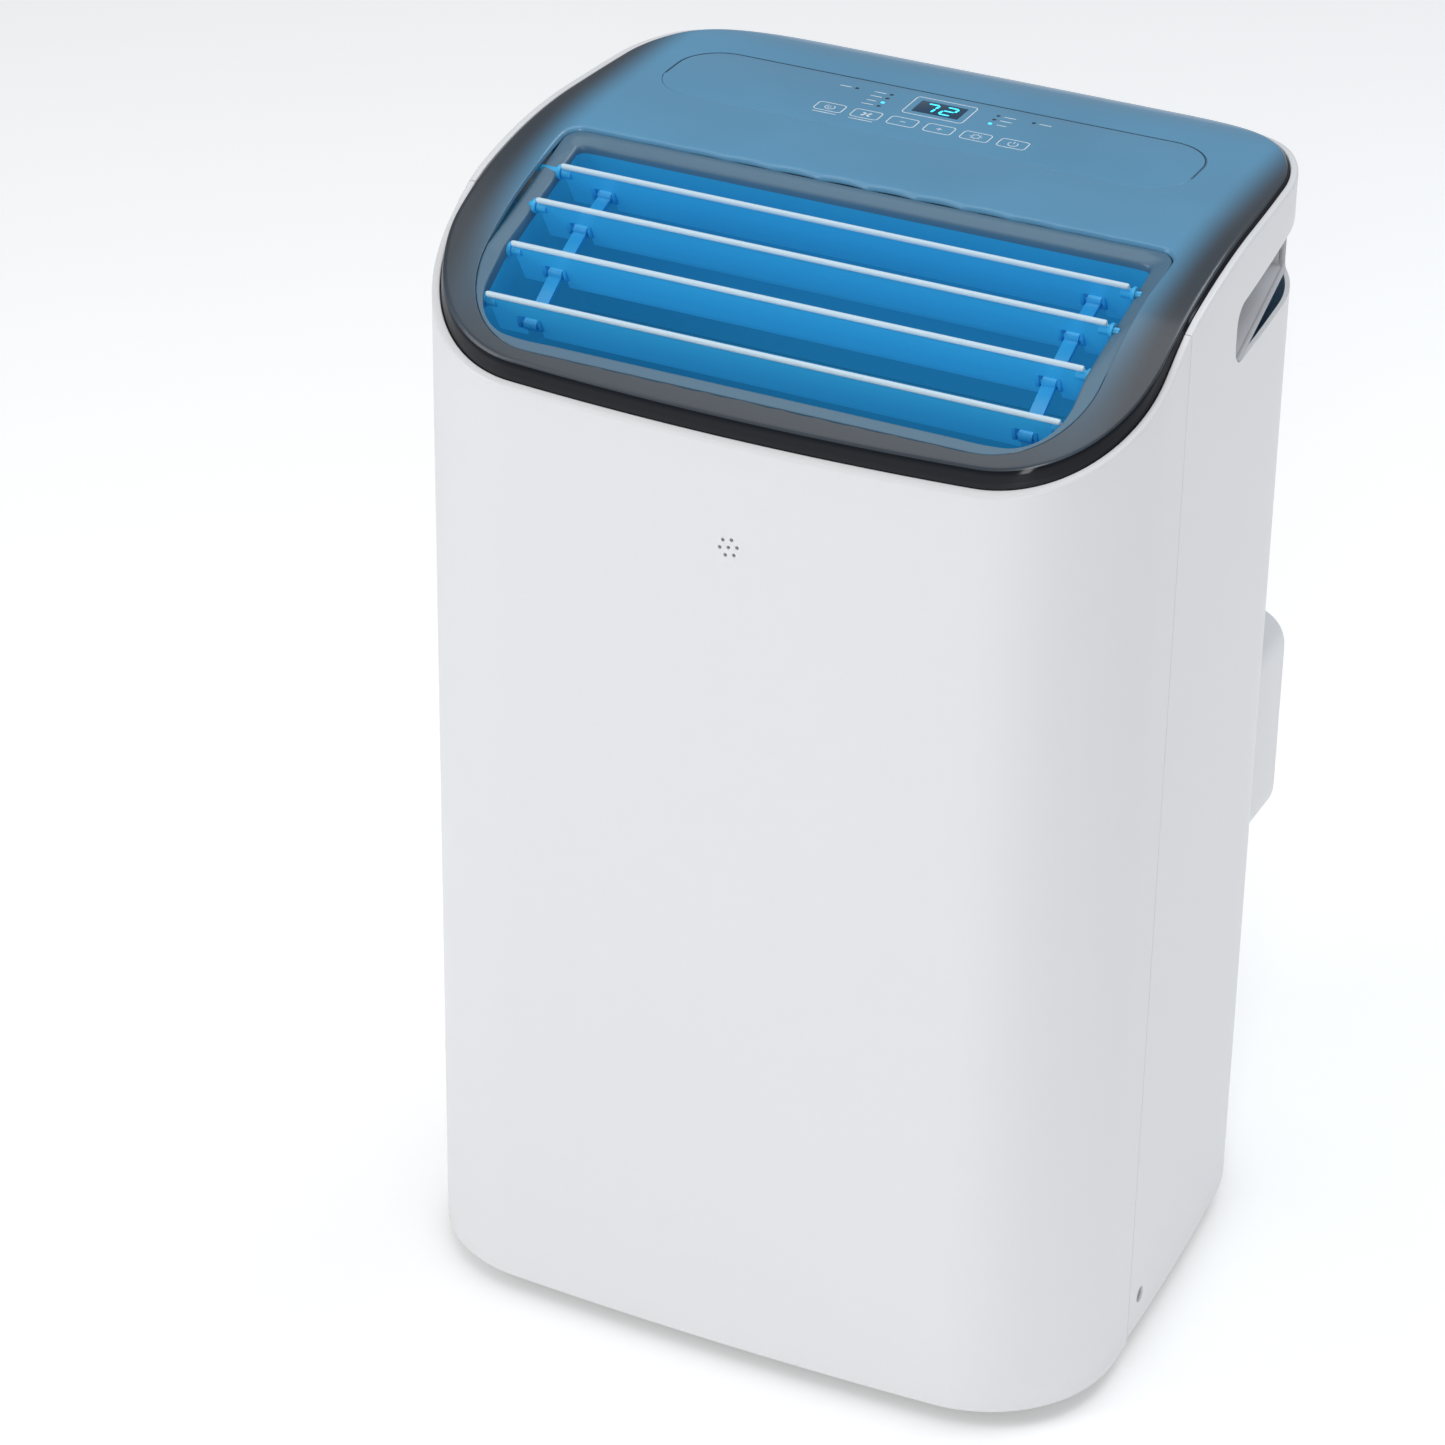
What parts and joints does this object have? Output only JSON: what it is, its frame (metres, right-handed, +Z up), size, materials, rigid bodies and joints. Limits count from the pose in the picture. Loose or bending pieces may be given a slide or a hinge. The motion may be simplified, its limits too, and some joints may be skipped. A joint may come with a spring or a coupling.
{
  "type": "portable air conditioner",
  "caption": "Upright portable air conditioner: bowed white cabinet on castors, dark sloping top with swinging louvres and touch controls, side grips and a rear exhaust collar.",
  "frame": {"origin": "On the floor under the middle of the overall box, which spans the cabinet and the exhaust housing behind it.", "axes": "+Z up, -Y out of the front face, +X to the right as seen from behind the controls looking at the front face from outside: the side with the exhaust housing."},
  "size_m": [0.44, 0.402, 0.701],
  "materials": {
    "white_shell": "satin moulded white ABS",
    "grey_liner": "fine-grained light grey plastic",
    "frame_blue": "dark blue-grey, satin top and glossy edge",
    "bezel_blue": "blue-grey satin plastic",
    "duct_plastic": "dark blue-grey duct plastic",
    "louvre_plastic": "pale blue-grey satin plastic",
    "link_plastic": "pale acetal plastic",
    "motor_case": "off-white motor case",
    "inlay_gloss": "glossy printed film under clear coat",
    "display_black": "smoked display window",
    "circuit_board": "green solder mask",
    "filter_dark": "dark filter frame with fine mesh",
    "base_plastic": "dark structural plastic",
    "castor_plastic": "black nylon",
    "wheel_plastic": "black hard wheel",
    "black_steel": "black painted steel shell",
    "rubber_black": "matt black rubber",
    "fin_aluminium": "thin pressed fins",
    "copper": "drawn copper tube",
    "foam_grey": "light grey moulded plastic",
    "fan_dark": "dark glass-filled fan plastic",
    "motor_steel": "zinc plated motor can",
    "scroll_black": "black blower scroll",
    "can_aluminium": "drawn capacitor can",
    "screw_steel": "dark zinc screw"
  },
  "bodies": {
    "cabinet": {"front_cover": "white_shell", "side_panel_left": "white_shell", "side_panel_right": "white_shell", "rear_cover": "white_shell", "top_frame": "frame_blue", "outlet_bezel": "bezel_blue", "outlet_duct": "duct_plastic", "louvre_motor": "motor_case", "control_inlay": "inlay_gloss", "display_window": "display_black", "control_board": "circuit_board", "grip_left": "grey_liner", "grip_right": "grey_liner", "exhaust_housing": "white_shell", "upper_grille": "white_shell", "lower_grille": "white_shell", "base_pan": "base_plastic", "compressor": "black_steel", "compressor_feet": "rubber_black", "accumulator": "black_steel", "condenser_coil": "fin_aluminium", "evaporator_coil": "fin_aluminium", "refrigerant_pipes": "copper", "middle_deck": "foam_grey", "fan_housing": "foam_grey", "evaporator_motor": "motor_steel", "exhaust_scroll": "scroll_black", "exhaust_motor": "motor_steel", "electrical_box": "motor_case", "capacitor": "can_aluminium", "cord_gland": "castor_plastic", "splash_motor": "motor_case", "sensor_board": "circuit_board", "cover_screws": "screw_steel"},
    "louvre_1": {"louvre_1": "louvre_plastic"},
    "louvre_2": {"louvre_2": "louvre_plastic"},
    "louvre_3": {"louvre_3": "louvre_plastic"},
    "louvre_4": {"louvre_4": "louvre_plastic"},
    "link_left": {"link_left": "link_plastic"},
    "link_right": {"link_right": "link_plastic"},
    "upper_filter": {"upper_filter": "filter_dark"},
    "lower_filter": {"lower_filter": "filter_dark"},
    "evaporator_fan": {"cross_flow_wheel": "fan_dark"},
    "exhaust_fan": {"exhaust_wheel": "fan_dark"},
    "splash_fan": {"splash_wheel": "motor_case"},
    "upper_cap": {"upper_drain_cap": "rubber_black"},
    "lower_cap": {"lower_drain_cap": "rubber_black"},
    "float_body": {"float_ring": "motor_case"},
    "swivel_1": {"caster_1": "castor_plastic"},
    "roller_1": {"caster_wheel_1": "wheel_plastic"},
    "swivel_2": {"caster_2": "castor_plastic"},
    "roller_2": {"caster_wheel_2": "wheel_plastic"},
    "swivel_3": {"caster_3": "castor_plastic"},
    "roller_3": {"caster_wheel_3": "wheel_plastic"},
    "swivel_4": {"caster_4": "castor_plastic"},
    "roller_4": {"caster_wheel_4": "wheel_plastic"}
  },
  "joints": [
    {"name": "louvre_1_tilt", "type": "hinge", "parent": "cabinet", "child": "louvre_1", "pos_m": [0, -0.0634, 0.68427], "axis": [1, 0, 0], "range_deg": [-20, 25]},
    {"name": "louvre_2_tilt", "type": "hinge", "parent": "cabinet", "child": "louvre_2", "pos_m": [0, -0.0934, 0.67525], "axis": [1, 0, 0], "range_deg": [-20, 25]},
    {"name": "louvre_3_tilt", "type": "hinge", "parent": "cabinet", "child": "louvre_3", "pos_m": [0, -0.1234, 0.66088], "axis": [1, 0, 0], "range_deg": [-20, 25]},
    {"name": "louvre_4_tilt", "type": "hinge", "parent": "cabinet", "child": "louvre_4", "pos_m": [0, -0.1534, 0.64232], "axis": [1, 0, 0], "range_deg": [-20, 25]},
    {"name": "link_left_turn", "type": "hinge", "parent": "louvre_1", "child": "link_left", "pos_m": [-0.15, -0.0559, 0.67128], "axis": [1, 0, 0], "range_deg": [-25, 20]},
    {"name": "link_right_turn", "type": "hinge", "parent": "louvre_1", "child": "link_right", "pos_m": [0.15, -0.0559, 0.67128], "axis": [1, 0, 0], "range_deg": [-25, 20]},
    {"name": "upper_filter_slide", "type": "slide", "parent": "cabinet", "child": "upper_filter", "axis": [-1, 0, 0], "range_m": [0, 0.3]},
    {"name": "lower_filter_slide", "type": "slide", "parent": "cabinet", "child": "lower_filter", "axis": [-1, 0, 0], "range_m": [0, 0.2]},
    {"name": "evaporator_fan_spin", "type": "hinge", "parent": "cabinet", "child": "evaporator_fan", "pos_m": [0, -0.034, 0.5], "axis": [1, 0, 0], "continuous": true},
    {"name": "exhaust_fan_spin", "type": "hinge", "parent": "cabinet", "child": "exhaust_fan", "pos_m": [0.112, -0.024, 0.23], "axis": [1, 0, 0], "continuous": true},
    {"name": "splash_spin", "type": "hinge", "parent": "cabinet", "child": "splash_fan", "pos_m": [-0.01, 0.081, 0.076], "axis": [0, 1, 0], "continuous": true},
    {"name": "upper_cap_pull", "type": "slide", "parent": "cabinet", "child": "upper_cap", "axis": [0, 1, 0], "range_m": [0, 0.025]},
    {"name": "lower_cap_pull", "type": "slide", "parent": "cabinet", "child": "lower_cap", "axis": [0, 1, 0], "range_m": [0, 0.025]},
    {"name": "float_lift", "type": "slide", "parent": "cabinet", "child": "float_body", "axis": [0, 0, 1], "range_m": [0, 0.02]},
    {"name": "swivel_1_turn", "type": "hinge", "parent": "cabinet", "child": "swivel_1", "pos_m": [-0.148, -0.135, 0.03], "axis": [0, 0, 1], "continuous": true},
    {"name": "roller_1_spin", "type": "hinge", "parent": "swivel_1", "child": "roller_1", "pos_m": [-0.148, -0.124, 0.015], "axis": [1, 0, 0], "continuous": true},
    {"name": "swivel_2_turn", "type": "hinge", "parent": "cabinet", "child": "swivel_2", "pos_m": [0.148, -0.135, 0.03], "axis": [0, 0, 1], "continuous": true},
    {"name": "roller_2_spin", "type": "hinge", "parent": "swivel_2", "child": "roller_2", "pos_m": [0.148, -0.124, 0.015], "axis": [1, 0, 0], "continuous": true},
    {"name": "swivel_3_turn", "type": "hinge", "parent": "cabinet", "child": "swivel_3", "pos_m": [-0.148, 0.107, 0.03], "axis": [0, 0, 1], "continuous": true},
    {"name": "roller_3_spin", "type": "hinge", "parent": "swivel_3", "child": "roller_3", "pos_m": [-0.148, 0.118, 0.015], "axis": [1, 0, 0], "continuous": true},
    {"name": "swivel_4_turn", "type": "hinge", "parent": "cabinet", "child": "swivel_4", "pos_m": [0.148, 0.107, 0.03], "axis": [0, 0, 1], "continuous": true},
    {"name": "roller_4_spin", "type": "hinge", "parent": "swivel_4", "child": "roller_4", "pos_m": [0.148, 0.118, 0.015], "axis": [1, 0, 0], "continuous": true}
  ],
  "couplings": [
    {"joint": "louvre_2_tilt", "follows": "louvre_1_tilt", "ratio": 1},
    {"joint": "louvre_3_tilt", "follows": "louvre_1_tilt", "ratio": 1},
    {"joint": "louvre_4_tilt", "follows": "louvre_1_tilt", "ratio": 1},
    {"joint": "link_left_turn", "follows": "louvre_1_tilt", "ratio": -1},
    {"joint": "link_right_turn", "follows": "louvre_1_tilt", "ratio": -1}
  ]
}
